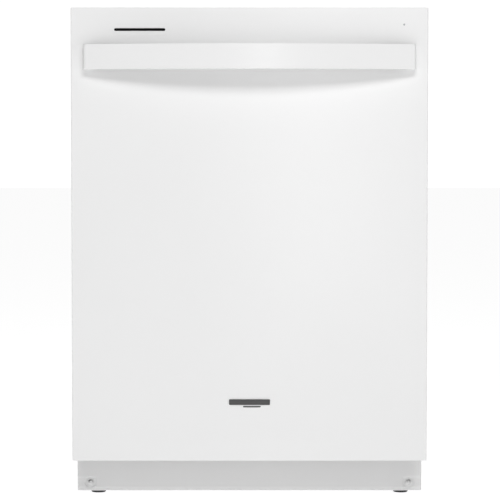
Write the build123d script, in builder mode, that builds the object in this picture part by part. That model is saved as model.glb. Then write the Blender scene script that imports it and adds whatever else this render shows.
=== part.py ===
from build123d import *
import os
from math import cos, radians, sin

os.makedirs("parts", exist_ok=True)

# ---------------------------------------------------------------- driving dimensions (mm)
# Frame: +Z up, origin on the floor under the middle of the appliance, front towards -Y.
WIDTH = 606  # door and frame, side to side
HEIGHT = 845  # floor to the top edge of the door, legs screwed in
DEPTH = 622  # door face to the rear stop
HANDLE_REACH = 48  # how far the handle stands off the door face
FACE_Y = HANDLE_REACH - (DEPTH + HANDLE_REACH) / 2
BACK_Y = FACE_Y + DEPTH
HALF = WIDTH / 2

# door
DOOR_BOTTOM_Z = 73
DOOR_SHEET = 1.2
RETURN_SHEET = 1.5  # folded side and bottom returns of the outer panel
RETURN_Y = FACE_Y + 37  # how far back the side returns reach
LINER_Y = FACE_Y + 60  # wet face of the inner liner
LINER_HALF = 292
LINER_BOTTOM_Z, LINER_TOP_Z = 118, 812
LINER_SHEET = 1.5
LINER_RIM_Y = LINER_Y - 35
NOTCH_X, NOTCH_Z = 262, 150  # lower corners cut away round the hinges
HINGE_Y, HINGE_Z = FACE_Y + 37, 112
HINGE_PIN_R = 5
RUNNING = 0.06  # radial clearance of the turning fits

# tub
TUB_SHEET = 2
TUB_HALF = 271  # inside half width
TUB_TOP_Z = 790  # inside
TUB_FRONT_Y, TUB_REAR_Y = -219, 300
TUB_CORNER_R = 34
FLOOR_Z, FLOOR_SHEET = 139, 3
FLANGE_HALF, FLANGE_TOP_Z, FLANGE_BOTTOM_Z = 297, 836, 170

# sump, filter and washing arms
SUMP_Y = -10
SUMP_R, SUMP_BOTTOM_Z = 100, 60
CUP_Y, CUP_R = SUMP_Y - 62, 30
POST_R, UPPER_POST_R = 12, 9
ARM_REACH = 198

# racks
LOWER_RACK_HALF, LOWER_RACK_FRONT, LOWER_RACK_BACK = 238, -212, 258
LOWER_RACK_Z, LOWER_RACK_TOP = 176, 300
UPPER_RACK_HALF, UPPER_RACK_FRONT, UPPER_RACK_BACK = 246, -208, 228
UPPER_RACK_Z, UPPER_RACK_TOP = 484, 612
WIRE_R = 2.2
LAYER_STEP = 3.4  # centre to centre of two welded wires
WHEEL_R, WHEEL_Z = 17, FLOOR_Z + 17.3
WHEEL_YS = (-150, 150)
RAIL_Z = 482.5  # middle of the upper rack's telescopic rails

# base
RAIL_BOTTOM_Z, RAIL_TOP_Z = 24, 60
FOOT_X, FOOT_YS = 267, (-166, 290)
FOOT_R, STUD_R = 13, 4
TOE_Y, TOE_BOTTOM_Z, TOE_TOP_Z, TOE_HALF = -200, 7, 100, 301.5
TOE_SCREW_X, TOE_SCREW_Z = 279, 22


# ---------------------------------------------------------------- helpers
def save(builder, node):
    """Label a finished sub-part and write its STEP file."""
    builder.part.label = node
    export_step(builder.part, f"parts/{node}.step")


def block(x, y, z, mode=Mode.ADD):
    """A box between pairs of limits, such as x=(0, 10)."""
    middle = [sum(pair) / 2 for pair in (x, y, z)]
    with Locations(tuple(middle)):
        Box(x[1] - x[0], y[1] - y[0], z[1] - z[0], mode=mode)


def rod(start, end, radius, mode=Mode.ADD):
    """A round bar between two points on a line parallel to an axis."""
    run = Vector(*end) - Vector(*start)
    turn = (0, 90, 0) if abs(run.X) > 0.01 else (90, 0, 0) if abs(run.Y) > 0.01 else (0, 0, 0)
    with Locations(tuple((Vector(*start) + Vector(*end)) * 0.5)):
        Cylinder(radius, run.length, rotation=turn, mode=mode)


def both(limits, side):
    """Limits across X for the right side (+1), or their mirror image for the left (-1)."""
    return limits if side > 0 else (-limits[1], -limits[0])


def spread(first, last, count):
    """Evenly spaced values from first to last."""
    return [first + (last - first) * i / (count - 1) for i in range(count)]


SIDES = {"left": -1, "right": 1}


# ---------------------------------------------------------------- tub
def tub_prism(half, top, bottom, radius, y, mode=Mode.ADD):
    """A block with rounded upper corners, the tub's outline, running along Y."""
    with BuildSketch(Plane.XZ.offset(-y[1])) as outline:
        with Locations((0, (top + bottom) / 2)):
            Rectangle(2 * half, top - bottom)
        fillet(outline.vertices().group_by(Axis.Y)[-1], radius)
    extrude(outline.sketch, amount=y[1] - y[0], mode=mode)


def make_tub():
    outer_half, outer_top = TUB_HALF + TUB_SHEET, TUB_TOP_Z + TUB_SHEET
    y = (TUB_FRONT_Y, TUB_REAR_Y)
    with BuildPart() as wrapper:
        tub_prism(outer_half, outer_top, FLOOR_Z, TUB_CORNER_R + TUB_SHEET, y)
        tub_prism(TUB_HALF, TUB_TOP_Z, FLOOR_Z - 5, TUB_CORNER_R, y, Mode.SUBTRACT)
    save(wrapper, "tub_wrapper")

    with BuildPart() as back:
        tub_prism(outer_half, outer_top, FLOOR_Z - FLOOR_SHEET, TUB_CORNER_R + TUB_SHEET,
                  (TUB_REAR_Y, TUB_REAR_Y + TUB_SHEET))
    save(back, "tub_back")

    under = FLOOR_Z - FLOOR_SHEET
    with BuildPart() as bottom:
        block((-outer_half, outer_half), y, (under, FLOOR_Z))
        block((-outer_half, outer_half), (TUB_FRONT_Y, TUB_FRONT_Y + 2.5), (LINER_BOTTOM_Z, under))
        holes = {(0, SUMP_Y): 108, FLOAT_AT: STUD_R + 0.1, FILL_AT: 9.5, (0, FEED_Y): 9}
        for place, radius in holes.items():
            rod((*place, under - 1), (*place, FLOOR_Z + 1), radius, Mode.SUBTRACT)
        for x in (-HEATER_LEG_X, HEATER_LEG_X):
            rod((x, HEATER_LEG_Y, under - 1), (x, HEATER_LEG_Y, FLOOR_Z + 1), 4.4, Mode.SUBTRACT)
    save(bottom, "tub_floor")


def make_front_frame():
    """Folded steel frame round the mouth of the tub, and the seal it carries."""
    front = (TUB_FRONT_Y - 2, TUB_FRONT_Y)
    inner = TUB_HALF + TUB_SHEET + 0.2
    with BuildPart() as frame:
        for side in SIDES.values():
            block(both((inner, FLANGE_HALF), side), front, (FLANGE_BOTTOM_Z, FLANGE_TOP_Z))
            block(both((POST_X[1] + 0.5, POST_X[1] + 2), side), (TUB_FRONT_Y, POST_Y[1]),
                  (FLANGE_BOTTOM_Z, FLANGE_TOP_Z))
        block((-inner - 1, inner + 1), front, (TUB_TOP_Z + TUB_SHEET + 0.2, FLANGE_TOP_Z))
        block((-POST_X[1], POST_X[1]), (TUB_FRONT_Y, POST_Y[1]), (FLANGE_TOP_Z - 1.5, FLANGE_TOP_Z))
        for side in SIDES.values():  # corner posts, pressed channels open towards the back
            block(both(POST_X, side), POST_Y, (RAIL_BOTTOM_Z + 2.2, FLANGE_TOP_Z - 2))
            block(both((POST_X[0] + 1.5, POST_X[1] - 1.5), side), (POST_Y[0] + 1.5, POST_Y[1]),
                  (RAIL_BOTTOM_Z + 2, FLANGE_TOP_Z - 2), Mode.SUBTRACT)
        for x in (-STRIKE_HOLE_X, STRIKE_HOLE_X):
            rod((x, front[0] - 1, STRIKE_HOLE_Z), (x, front[1] + 1, STRIKE_HOLE_Z), 2.1, Mode.SUBTRACT)
    save(frame, "front_frame")

    seal_y = (LINER_Y + 0.4, TUB_FRONT_Y - 2)
    with BuildPart() as gasket:
        tub_prism(TUB_HALF + 13, TUB_TOP_Z + 13, GASKET_BOTTOM_Z, TUB_CORNER_R + 13, seal_y)
        tub_prism(TUB_HALF + 5, TUB_TOP_Z + 5, GASKET_BOTTOM_Z - 5, TUB_CORNER_R + 5, seal_y,
                  Mode.SUBTRACT)
    save(gasket, "tub_gasket")


def make_blanket():
    inner = TUB_HALF + TUB_SHEET + 0.5
    top = TUB_TOP_Z + TUB_SHEET + 0.5
    y = (POST_Y[1] + 8, TUB_REAR_Y - 4)
    with BuildPart() as blanket:
        tub_prism(inner + 5, top + 5, NOTCH_Z, TUB_CORNER_R + 7, y)
        tub_prism(inner, top, NOTCH_Z - 5, TUB_CORNER_R + 2, y, Mode.SUBTRACT)
    save(blanket, "insulation_blanket")


# ---------------------------------------------------------------- base
POST_X, POST_Y = (279, 288), (-186, -160)
GASKET_BOTTOM_Z = 152
STRIKE_HOLE_X, STRIKE_HOLE_Z = 20, 811


def make_base():
    """Side rails with their leg nuts, and a beam across the front and the rear."""
    with BuildPart() as frame:
        for side in SIDES.values():
            block(both((250, 290), side), (POST_Y[0], 320), (RAIL_BOTTOM_Z, RAIL_BOTTOM_Z + 2))
            block(both((288.2, 290), side), (POST_Y[0], 320), (RAIL_BOTTOM_Z, RAIL_TOP_Z))
            for y in FOOT_YS:
                rod((side * FOOT_X, y, RAIL_BOTTOM_Z + 2), (side * FOOT_X, y, RAIL_TOP_Z), 9)
                rod((side * FOOT_X, y, 20), (side * FOOT_X, y, RAIL_TOP_Z + 1), STUD_R + 0.1,
                    Mode.SUBTRACT)
            block(both((264, 290), side), (TOE_Y + 1.5, TOE_Y + 3), (12, 60))
            block(both((264, 278), side), (TOE_Y + 3, -190), (58, 60))
            rod((side * TOE_SCREW_X, TOE_Y, TOE_SCREW_Z), (side * TOE_SCREW_X, TOE_Y + 5, TOE_SCREW_Z),
                2.1, Mode.SUBTRACT)
        block((-279, 279), (-190, -188), (RAIL_BOTTOM_Z, 96))
        block((-249, 249), (-188, -164), (RAIL_BOTTOM_Z, RAIL_BOTTOM_Z + 2))
        block((-290, 290), (320.2, 322), (RAIL_BOTTOM_Z, 130))
        block((-290, 290), (322, BACK_Y), (RAIL_BOTTOM_Z, RAIL_BOTTOM_Z + 2))
        block((-262, 262), (303, 322), (128, 130))
        rod((DRAIN_X, 315, DRAIN_Z), (DRAIN_X, BACK_Y + 5, DRAIN_Z), 16, Mode.SUBTRACT)
    save(frame, "base_frame")

    for name, side in SIDES.items():
        for end, y in zip(("front", "rear"), FOOT_YS):
            with BuildPart() as foot:
                with Locations((side * FOOT_X, y, 4)):
                    Cylinder(FOOT_R, 8)
                chamfer(foot.edges().filter_by(GeomType.CIRCLE).group_by(Axis.Z)[-1], 2)
                with Locations((side * FOOT_X, y, 14)):
                    Cylinder(7, 12)
                rod((side * FOOT_X, y, 8), (side * FOOT_X, y, RAIL_TOP_Z - 2), STUD_R)
            save(foot, f"foot_{end}_{name}")


DRAIN_X, DRAIN_Z = -120, 78


def make_toe_panel():
    sheet = 1.5
    with BuildPart() as panel:
        block((-TOE_HALF, TOE_HALF), (TOE_Y, TOE_Y + sheet), (TOE_BOTTOM_Z, TOE_TOP_Z))
        block((-TOE_HALF, TOE_HALF), (TOE_Y, TOE_Y + 9), (TOE_BOTTOM_Z, TOE_BOTTOM_Z + sheet))
        block((-TOE_HALF, TOE_HALF), (TOE_Y, TOE_Y + 6), (TOE_TOP_Z - sheet, TOE_TOP_Z))
        for side in SIDES.values():
            rod((side * TOE_SCREW_X, TOE_Y - 2, TOE_SCREW_Z), (side * TOE_SCREW_X, TOE_Y + 3, TOE_SCREW_Z),
                2.6, Mode.SUBTRACT)
    save(panel, "toe_panel")

    with BuildPart() as screws:
        for side in SIDES.values():
            at = (side * TOE_SCREW_X, TOE_SCREW_Z)
            rod((at[0], TOE_Y - 1.8, at[1]), (at[0], TOE_Y, at[1]), 4.5)
            rod((at[0], TOE_Y, at[1]), (at[0], TOE_Y + 7, at[1]), 2)
    save(screws, "toe_panel_screws")


def make_top_brackets():
    """Two strips that are screwed up into the underside of the worktop."""
    with BuildPart() as brackets:
        for side in SIDES.values():
            x = (side * BRACKET_X - 15, side * BRACKET_X + 15)
            block(x, (-212, -178), (BRACKET_Z - 2, BRACKET_Z))
            block(x, (-180, -178), (FLANGE_TOP_Z, BRACKET_Z))
            block(x, (-180, -163), (FLANGE_TOP_Z, FLANGE_TOP_Z + 1.5))
            for y in BRACKET_HOLE_YS:
                rod((sum(x) / 2, y, BRACKET_Z - 4), (sum(x) / 2, y, BRACKET_Z + 4), BRACKET_HOLE_R, Mode.SUBTRACT)
    save(brackets, "worktop_brackets")


BRACKET_X, BRACKET_Z, BRACKET_HOLE_R = 190, 841, 2.6
BRACKET_HOLE_YS = (-205, -190)


# ---------------------------------------------------------------- hinges and balance springs
def make_hinges():
    with BuildPart() as brackets:
        for side in SIDES.values():
            x = both((284, 287), side)
            with BuildSketch(Plane.YZ.offset(x[0])):
                with BuildLine():
                    Polyline((HINGE_Y - 8, 102.5), (POST_Y[0] - 0.2, 102.5), (POST_Y[0] - 0.2, 150),
                             (-214, 150), (HINGE_Y + 4, 126), (HINGE_Y - 8, 126), close=True)
                make_face()
                with Locations((HINGE_Y, HINGE_Z)):
                    Circle(9.4)
            extrude(amount=3)
            block(both((279.2, 287), side), (POST_Y[0] - 2, POST_Y[0] - 0.2), (102.5, 150))
            ends = both((282.5, 298), side)  # the pivot pin is riveted into its bracket
            rod((ends[0], HINGE_Y, HINGE_Z), (ends[1], HINGE_Y, HINGE_Z), HINGE_PIN_R)
            head = both((298, 300), side)
            rod((head[0], HINGE_Y, HINGE_Z), (head[1], HINGE_Y, HINGE_Z), 8)
            block(both((284, 298), side), (SPRING_REAR_Y, SPRING_REAR_Y + 2), (RAIL_TOP_Z, TAIL_Z + 8))
            block(both((284, 288), side), (SPRING_REAR_Y, SPRING_REAR_Y + 24),
                  (RAIL_BOTTOM_Z + 2.2, RAIL_TOP_Z + 1))
    save(brackets, "hinge_brackets")

    with BuildPart() as arms:
        for side in SIDES.values():
            x = both((294, 297.5), side)
            with BuildSketch(Plane.YZ.offset(x[0])):
                with Locations((HINGE_Y, HINGE_Z)):
                    Circle(14)
                with Locations((HINGE_Y - 6, 260)):
                    Rectangle(30, 300)
                with BuildLine():
                    Polyline((HINGE_Y - 4, HINGE_Z + 12), (HINGE_Y + 4, HINGE_Z - 10),
                             (TAIL_Y + 7, TAIL_Z - 3), (TAIL_Y + 2, TAIL_Z + 7), close=True)
                make_face()
                with Locations((HINGE_Y, HINGE_Z)):
                    Circle(HINGE_PIN_R + RUNNING, mode=Mode.SUBTRACT)
            extrude(amount=3.5)
            stud = both((290.2, 294), side)
            rod((stud[0], TAIL_Y, TAIL_Z), (stud[1], TAIL_Y, TAIL_Z), 3)
    save(arms, "hinge_arms")


TAIL_R = 40  # from the hinge pin to the stud that pulls the spring
TAIL_Y = HINGE_Y + TAIL_R * cos(radians(45))
TAIL_Z = HINGE_Z + TAIL_R * sin(radians(45))
LINK_FRONT_Y, LINK_REAR_Y = TAIL_Y + 5, -150
SPRING_REAR_Y = 68


def make_springs():
    with BuildPart() as links:
        for side in SIDES.values():
            block(both((290.8, 293.2), side), (LINK_FRONT_Y, LINK_REAR_Y), (TAIL_Z - 4, TAIL_Z + 4))
            rod((side * 292, LINK_REAR_Y - 5, TAIL_Z), (side * 292, LINK_REAR_Y, TAIL_Z), 3)
    save(links, "spring_links")
    with BuildPart() as springs:
        for side in SIDES.values():
            with Locations((side * 292, (LINK_REAR_Y + SPRING_REAR_Y) / 2 + 1, TAIL_Z)):
                Cylinder(5, SPRING_REAR_Y - LINK_REAR_Y - 2, rotation=(90, 0, 0))
                Cylinder(3.4, SPRING_REAR_Y - LINK_REAR_Y - 2, rotation=(90, 0, 0), mode=Mode.SUBTRACT)
    save(springs, "balance_springs")


# ---------------------------------------------------------------- water path
FLOAT_AT = (-205, -168)
FILL_AT = (-205, 200)
FEED_Y = 288
HEATER_R, HEATER_TUBE_R, HEATER_Z = 165, 4, FLOOR_Z + 5.5
HEATER_LEG_X = 18
HEATER_LEG_Y = SUMP_Y + HEATER_R - 1


def ring_at(place, outer, inner, z):
    """A tube standing on its end."""
    rod((*place, z[0]), (*place, z[1]), outer)
    rod((*place, z[0] - 1), (*place, z[1] + 1), inner, Mode.SUBTRACT)


def make_sump():
    under = FLOOR_Z - FLOOR_SHEET
    with BuildPart() as sump:
        rod((0, SUMP_Y, under - 4), (0, SUMP_Y, under), 125)
        rod((0, SUMP_Y, SUMP_BOTTOM_Z), (0, SUMP_Y, under - 2), SUMP_R)
        rod((0, SUMP_Y, SUMP_BOTTOM_Z + 3), (0, SUMP_Y, under + 1), SUMP_R - 3, Mode.SUBTRACT)
        rod((0, SUMP_Y + SUMP_R - 3, 82), (0, 101, 82), 20)
        rod((0, SUMP_Y + SUMP_R - 4, 82), (0, 102, 82), 17, Mode.SUBTRACT)
        rod((-112, SUMP_Y, DRAIN_Z), (-SUMP_R + 3, SUMP_Y, DRAIN_Z), 13)
        rod((-113, SUMP_Y, DRAIN_Z), (-SUMP_R + 4, SUMP_Y, DRAIN_Z), 10, Mode.SUBTRACT)
        rod((0, SUMP_Y, under + 0.2), (0, SUMP_Y, under + 2.2), 106)  # the flat filter over the pot
        rod((0, SUMP_Y, under - 1), (0, SUMP_Y, under + 3), POST_R + 1, Mode.SUBTRACT)
        rod((0, CUP_Y, under - 1), (0, CUP_Y, under + 3), CUP_R + 1, Mode.SUBTRACT)
        ring_at((0, SUMP_Y), POST_R, 8, (SUMP_BOTTOM_Z + 2, 163))  # the post that feeds the lower arm
        rod((0, SUMP_Y, 163.2), (0, SUMP_Y, 167), 17)
    save(sump, "sump")

    with BuildPart() as cup:
        ring_at((0, CUP_Y), CUP_R - 0.5, CUP_R - 3, (70, under + 2))
        rod((0, CUP_Y, 67), (0, CUP_Y, 70), CUP_R - 0.5)
        rod((0, CUP_Y, under + 2.3), (0, CUP_Y, under + 5), CUP_R + 4)
        rod((0, CUP_Y, under + 2), (0, CUP_Y, under + 2.4), CUP_R - 0.5)
        block((-22, 22), (CUP_Y - 3, CUP_Y + 3), (under + 5, under + 13))
    save(cup, "filter_cup")


def spray_arm(post_radius, z):
    """A washing arm: hub, two tapered blades and a row of jets."""
    with BuildSketch(Plane.XY.offset(z[0])) as outline:
        with BuildLine():
            Polyline((-ARM_REACH + 8, SUMP_Y - 11), (0, SUMP_Y - 20), (ARM_REACH - 8, SUMP_Y - 11),
                     (ARM_REACH, SUMP_Y), (ARM_REACH - 8, SUMP_Y + 11), (0, SUMP_Y + 20),
                     (-ARM_REACH + 8, SUMP_Y + 11), (-ARM_REACH, SUMP_Y), close=True)
        make_face()
        with Locations((0, SUMP_Y)):
            Circle(24)
    extrude(outline.sketch, amount=z[1] - z[0])
    with Locations((0, SUMP_Y, (z[0] + z[1]) / 2)):
        Cylinder(post_radius + RUNNING, 40, mode=Mode.SUBTRACT)
    for x in spread(50, ARM_REACH - 18, 5):
        for side in SIDES.values():
            rod((side * x, SUMP_Y, z[1] - 3), (side * x, SUMP_Y, z[1] + 1), 1.6, Mode.SUBTRACT)


def make_spray_arms():
    with BuildPart() as lower:
        spray_arm(POST_R, (152.5, 162))
    save(lower, "lower_spray_arm")
    with BuildPart() as upper:
        spray_arm(UPPER_POST_R, (442, 451))
    save(upper, "upper_spray_arm")

    with BuildPart() as feed:
        block((-16, 16), (FEED_Y - 9, TUB_REAR_Y - 1), (FLOOR_Z + 0.2, TUB_TOP_Z - 12))
        block((-16, 16), (-10, TUB_REAR_Y - 1), (TUB_TOP_Z - 12, TUB_TOP_Z - 1))
        rod((0, 265, 464), (0, FEED_Y - 8, 464), 12)
        rod((0, SUMP_Y, TUB_TOP_Z - 18), (0, SUMP_Y, TUB_TOP_Z - 1), 34)
    save(feed, "feed_tube")


def make_heater():
    with BuildPart() as heater:
        with Locations((0, SUMP_Y, HEATER_Z)):
            Torus(HEATER_R, HEATER_TUBE_R)
        block((-HEATER_LEG_X, HEATER_LEG_X), (SUMP_Y + HEATER_R - 20, SUMP_Y + HEATER_R + 20),
              (HEATER_Z - 9, HEATER_Z + 9), Mode.SUBTRACT)
        for x in (-HEATER_LEG_X, HEATER_LEG_X):
            rod((x, HEATER_LEG_Y, 121), (x, HEATER_LEG_Y, HEATER_Z + 3), HEATER_TUBE_R)
            with BuildSketch(Plane.XY.offset(124)):
                with Locations((x, HEATER_LEG_Y)):
                    RegularPolygon(10, 6)
                    Circle(HEATER_TUBE_R + 0.1, mode=Mode.SUBTRACT)
            extrude(amount=FLOOR_Z - FLOOR_SHEET - 124)
    save(heater, "heating_element")


def make_float():
    with BuildPart() as float_dome:
        with Locations((*FLOAT_AT, FLOOR_Z + 10)):
            Cylinder(22, 14)
        fillet(float_dome.edges().filter_by(GeomType.CIRCLE).group_by(Axis.Z)[-1], 5)
        rod((*FLOAT_AT, 104), (*FLOAT_AT, FLOOR_Z + 4), STUD_R)
    save(float_dome, "float")
    with BuildPart() as switch:
        ring_at(FLOAT_AT, 8, STUD_R + 0.1, (102, FLOOR_Z - FLOOR_SHEET))
        block((FLOAT_AT[0] - 14, FLOAT_AT[0] + 14), (FLOAT_AT[1] - 11, FLOAT_AT[1] + 11), (84, 102))
    save(switch, "float_switch")


def make_pumps():
    with BuildPart() as pump:
        rod((0, 101, 82), (0, 131, 82), 45)
        rod((0, 131, 82), (0, 210, 82), 38)
        rod((0, 210, 82), (0, 218, 82), 14)
    save(pump, "wash_pump")
    with BuildPart() as drain:
        rod((-128, SUMP_Y, DRAIN_Z), (-112, SUMP_Y, DRAIN_Z), 30)
        rod((-184, SUMP_Y, DRAIN_Z), (-128, SUMP_Y, DRAIN_Z), 25)
        rod((DRAIN_X, SUMP_Y + 10, DRAIN_Z), (DRAIN_X, 34, DRAIN_Z), 7)
    save(drain, "drain_pump")
    with BuildPart() as outlet:
        rod((DRAIN_X, 300.2, DRAIN_Z), (DRAIN_X, 318, DRAIN_Z), 15)
        rod((DRAIN_X, 318, DRAIN_Z), (DRAIN_X, BACK_Y, DRAIN_Z), SPIGOT_R)
    save(outlet, "drain_outlet")


SPIGOT_R, INLET_R = 10, 8.3
VALVE_X, VALVE_Y, VALVE_Z = FILL_AT[0], -130, 60


def make_inlet():
    with BuildPart() as valve:
        block((VALVE_X - 20, VALVE_X + 20), (VALVE_Y - 20, VALVE_Y + 20), (VALVE_Z - 20, VALVE_Z + 16))
        rod((VALVE_X, VALVE_Y, VALVE_Z + 16), (VALVE_X, VALVE_Y, VALVE_Z + 44), 13)
        rod((VALVE_X, VALVE_Y, VALVE_Z - 36), (VALVE_X, VALVE_Y, VALVE_Z - 20), INLET_R)
    save(valve, "inlet_valve")

    under = FLOOR_Z - FLOOR_SHEET
    runs = {"wash": ([(45.5, 116, 82), (76, 116, 82), (76, 236, 82), (0, FEED_Y, 82), (0, FEED_Y, under)],
                     [14, 22, 20], 11),
            "fill": ([(VALVE_X, VALVE_Y + 20.2, VALVE_Z), (VALVE_X, FILL_AT[1], VALVE_Z), (*FILL_AT, under)],
                     26, 7)}
    with BuildPart() as hoses:
        for points, radii, thick in runs.values():
            with BuildLine() as run:
                FilletPolyline(*points, radius=radii)
            path = run.wires()[0]
            with BuildSketch(Plane(origin=path @ 0, z_dir=path % 0)) as section:
                Circle(thick)
            sweep(section.sketch, path=path)
        rod((DRAIN_X, 34.2, DRAIN_Z), (DRAIN_X, 300, DRAIN_Z), 11)
        rod((*FILL_AT, under + 0.2), (*FILL_AT, FLOOR_Z + 2), 9.3)  # spout inside the tub
        rod((*FILL_AT, FLOOR_Z + 0.2), (*FILL_AT, FLOOR_Z + 12), 16)
    save(hoses, "internal_hoses")

    x, y, z = (160, 240), (-160, -95), (30, 78)
    with BuildPart() as box:
        block(x, y, z)
        block((x[0] + 1.5, x[1] - 1.5), (y[0] - 1, y[1] - 1.5), (z[0] + 1.5, z[1] - 1.5), Mode.SUBTRACT)
        rod((200, -128, z[0] - 5), (200, -128, z[0] + 5), KNOCKOUT_R, Mode.SUBTRACT)
        block(x, (y[0] - 1.8, y[0] - 0.2), z)  # its cover
    save(box, "junction_box")


KNOCKOUT_R = 11.1


# ---------------------------------------------------------------- door shell
WINDOW_X, WINDOW_Z, WINDOW_LENGTH, WINDOW_TALL = -186, 807.7, 86.4, 4.4
LAMP_X, LAMP_Z, LAMP_R = 262, 816.2, 1.4
HANDLE_HALF, HANDLE_Z = 281.5, (740, 782)
HANDLE_SCREW_X = 274
DISPENSER_X, DISPENSER_Z = (10, 170), (380, 470)


def make_door_shell():
    top = HEIGHT
    with BuildPart() as panel:
        block((-HALF, HALF), (FACE_Y, RETURN_Y), (DOOR_BOTTOM_Z, top))
        fillet(panel.edges().filter_by(Axis.Z).group_by(Axis.Y)[0], 2)
        inner = (-HALF + RETURN_SHEET, HALF - RETURN_SHEET)
        block(inner, (FACE_Y + DOOR_SHEET, RETURN_Y + 1), (DOOR_BOTTOM_Z + RETURN_SHEET, top + 1),
              Mode.SUBTRACT)
        block(inner, (RETURN_Y - 16, RETURN_Y + 1), (DOOR_BOTTOM_Z - 1, DOOR_BOTTOM_Z + 3), Mode.SUBTRACT)
        with BuildSketch(Plane.XZ.offset(-FACE_Y - 5)):
            with Locations((WINDOW_X, WINDOW_Z)):
                SlotOverall(WINDOW_LENGTH + 0.2, WINDOW_TALL + 0.2)
            with Locations((LAMP_X, LAMP_Z)):
                Circle(LAMP_R + 0.1)
            with Locations(*[(s * HANDLE_SCREW_X, sum(HANDLE_Z) / 2) for s in SIDES.values()]):
                Circle(2.7)
        extrude(amount=10, mode=Mode.SUBTRACT)
    save(panel, "door_outer_panel")

    with BuildPart() as liner:
        block((-LINER_HALF, LINER_HALF), (LINER_RIM_Y, LINER_Y), (LINER_BOTTOM_Z, LINER_TOP_Z))
        fillet(liner.edges().filter_by(Axis.Y), 14)
        with BuildSketch(Plane.XZ.offset(-LINER_RIM_Y + 1)) as inside:
            with Locations((0, (LINER_BOTTOM_Z + LINER_TOP_Z) / 2)):
                RectangleRounded(2 * (LINER_HALF - LINER_SHEET), LINER_TOP_Z - LINER_BOTTOM_Z - 2 * LINER_SHEET,
                                 14 - LINER_SHEET)
        extrude(amount=-(LINER_Y - LINER_RIM_Y - LINER_SHEET + 1), mode=Mode.SUBTRACT)
        for side in SIDES.values():
            block(both((NOTCH_X, LINER_HALF + 1), side), (LINER_RIM_Y - 1, LINER_Y + 1),
                  (LINER_BOTTOM_Z - 1, NOTCH_Z), Mode.SUBTRACT)
        block((DISPENSER_X[0] - 0.5, DISPENSER_X[1] + 0.5), (LINER_Y - 5, LINER_Y + 5),
              (DISPENSER_Z[0] - 0.5, DISPENSER_Z[1] + 0.5), Mode.SUBTRACT)
    save(liner, "door_liner")

    with BuildPart() as pad:
        block((-285, 285), (FACE_Y + DOOR_SHEET + 0.3, LINER_RIM_Y - 4), (DOOR_BOTTOM_Z + 17, 730))
    save(pad, "door_insulation")

    with BuildPart() as seal:
        block((-244, 244), (LINER_Y, LINER_Y + 5.5), (LINER_BOTTOM_Z + 4, LINER_BOTTOM_Z + 12))
    save(seal, "door_bottom_seal")

    with BuildPart() as screws:
        for side in SIDES.values():
            for z in spread(180, 760, 5):
                rod((side * 288.2, LINER_Y, z), (side * 288.2, LINER_Y + 2, z), 3)
            at = (side * HANDLE_SCREW_X, sum(HANDLE_Z) / 2)
            rod((at[0], FACE_Y - 10, at[1]), (at[0], FACE_Y + DOOR_SHEET, at[1]), 2.5)
            rod((at[0], FACE_Y + DOOR_SHEET, at[1]), (at[0], FACE_Y + DOOR_SHEET + 4, at[1]), 5)
    save(screws, "door_screws")

    with BuildPart() as badge:
        block((-35, 35), (FACE_Y - 1.2, FACE_Y), (164.5, 178.5))
        fillet(badge.edges().filter_by(Axis.Y), 2)
    save(badge, "badge")


def handle_bow():
    """The whole bowed grip with its two feet, seen from above and raised to its height."""
    middle, end, thick = FACE_Y - HANDLE_REACH, FACE_Y - 17, 13
    with BuildSketch(Plane.XY.offset(HANDLE_Z[0])) as outline:
        with BuildLine():
            ThreePointArc((-HANDLE_HALF, end), (0, middle), (HANDLE_HALF, end))
            Polyline((HANDLE_HALF, end), (HANDLE_HALF, FACE_Y), (FOOT_IN_X, FACE_Y), (FOOT_IN_X, FACE_Y - 6))
            ThreePointArc((FOOT_IN_X, FACE_Y - 6), (0, middle + thick), (-FOOT_IN_X, FACE_Y - 6))
            Polyline((-FOOT_IN_X, FACE_Y - 6), (-FOOT_IN_X, FACE_Y), (-HANDLE_HALF, FACE_Y), (-HANDLE_HALF, end))
        make_face()
    extrude(outline.sketch, amount=HANDLE_Z[1] - HANDLE_Z[0])


FOOT_IN_X = 264


def make_handle():
    with BuildPart() as handle:
        handle_bow()
        for side in SIDES.values():
            block(both((FOOT_IN_X, FOOT_IN_X + 0.2), side), (-400, -200), (700, 800), Mode.SUBTRACT)
            at = (side * HANDLE_SCREW_X, sum(HANDLE_Z) / 2)
            rod((at[0], FACE_Y - 12, at[1]), (at[0], FACE_Y + 1, at[1]), 2.6, Mode.SUBTRACT)
    save(handle, "handle")


# ---------------------------------------------------------------- console, keys and latch
CONSOLE_Y, CONSOLE_Z, CONSOLE_WALL = (FACE_Y + 1.4, -232), (815, HEIGHT), 3
KEY_XS, KEY_Y, KEY_SIZE = (-205, -145, 185), -260, (34, 13)
SLOT_HALF = 18
PAWL_Y, PAWL_Z = -266, 834


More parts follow.
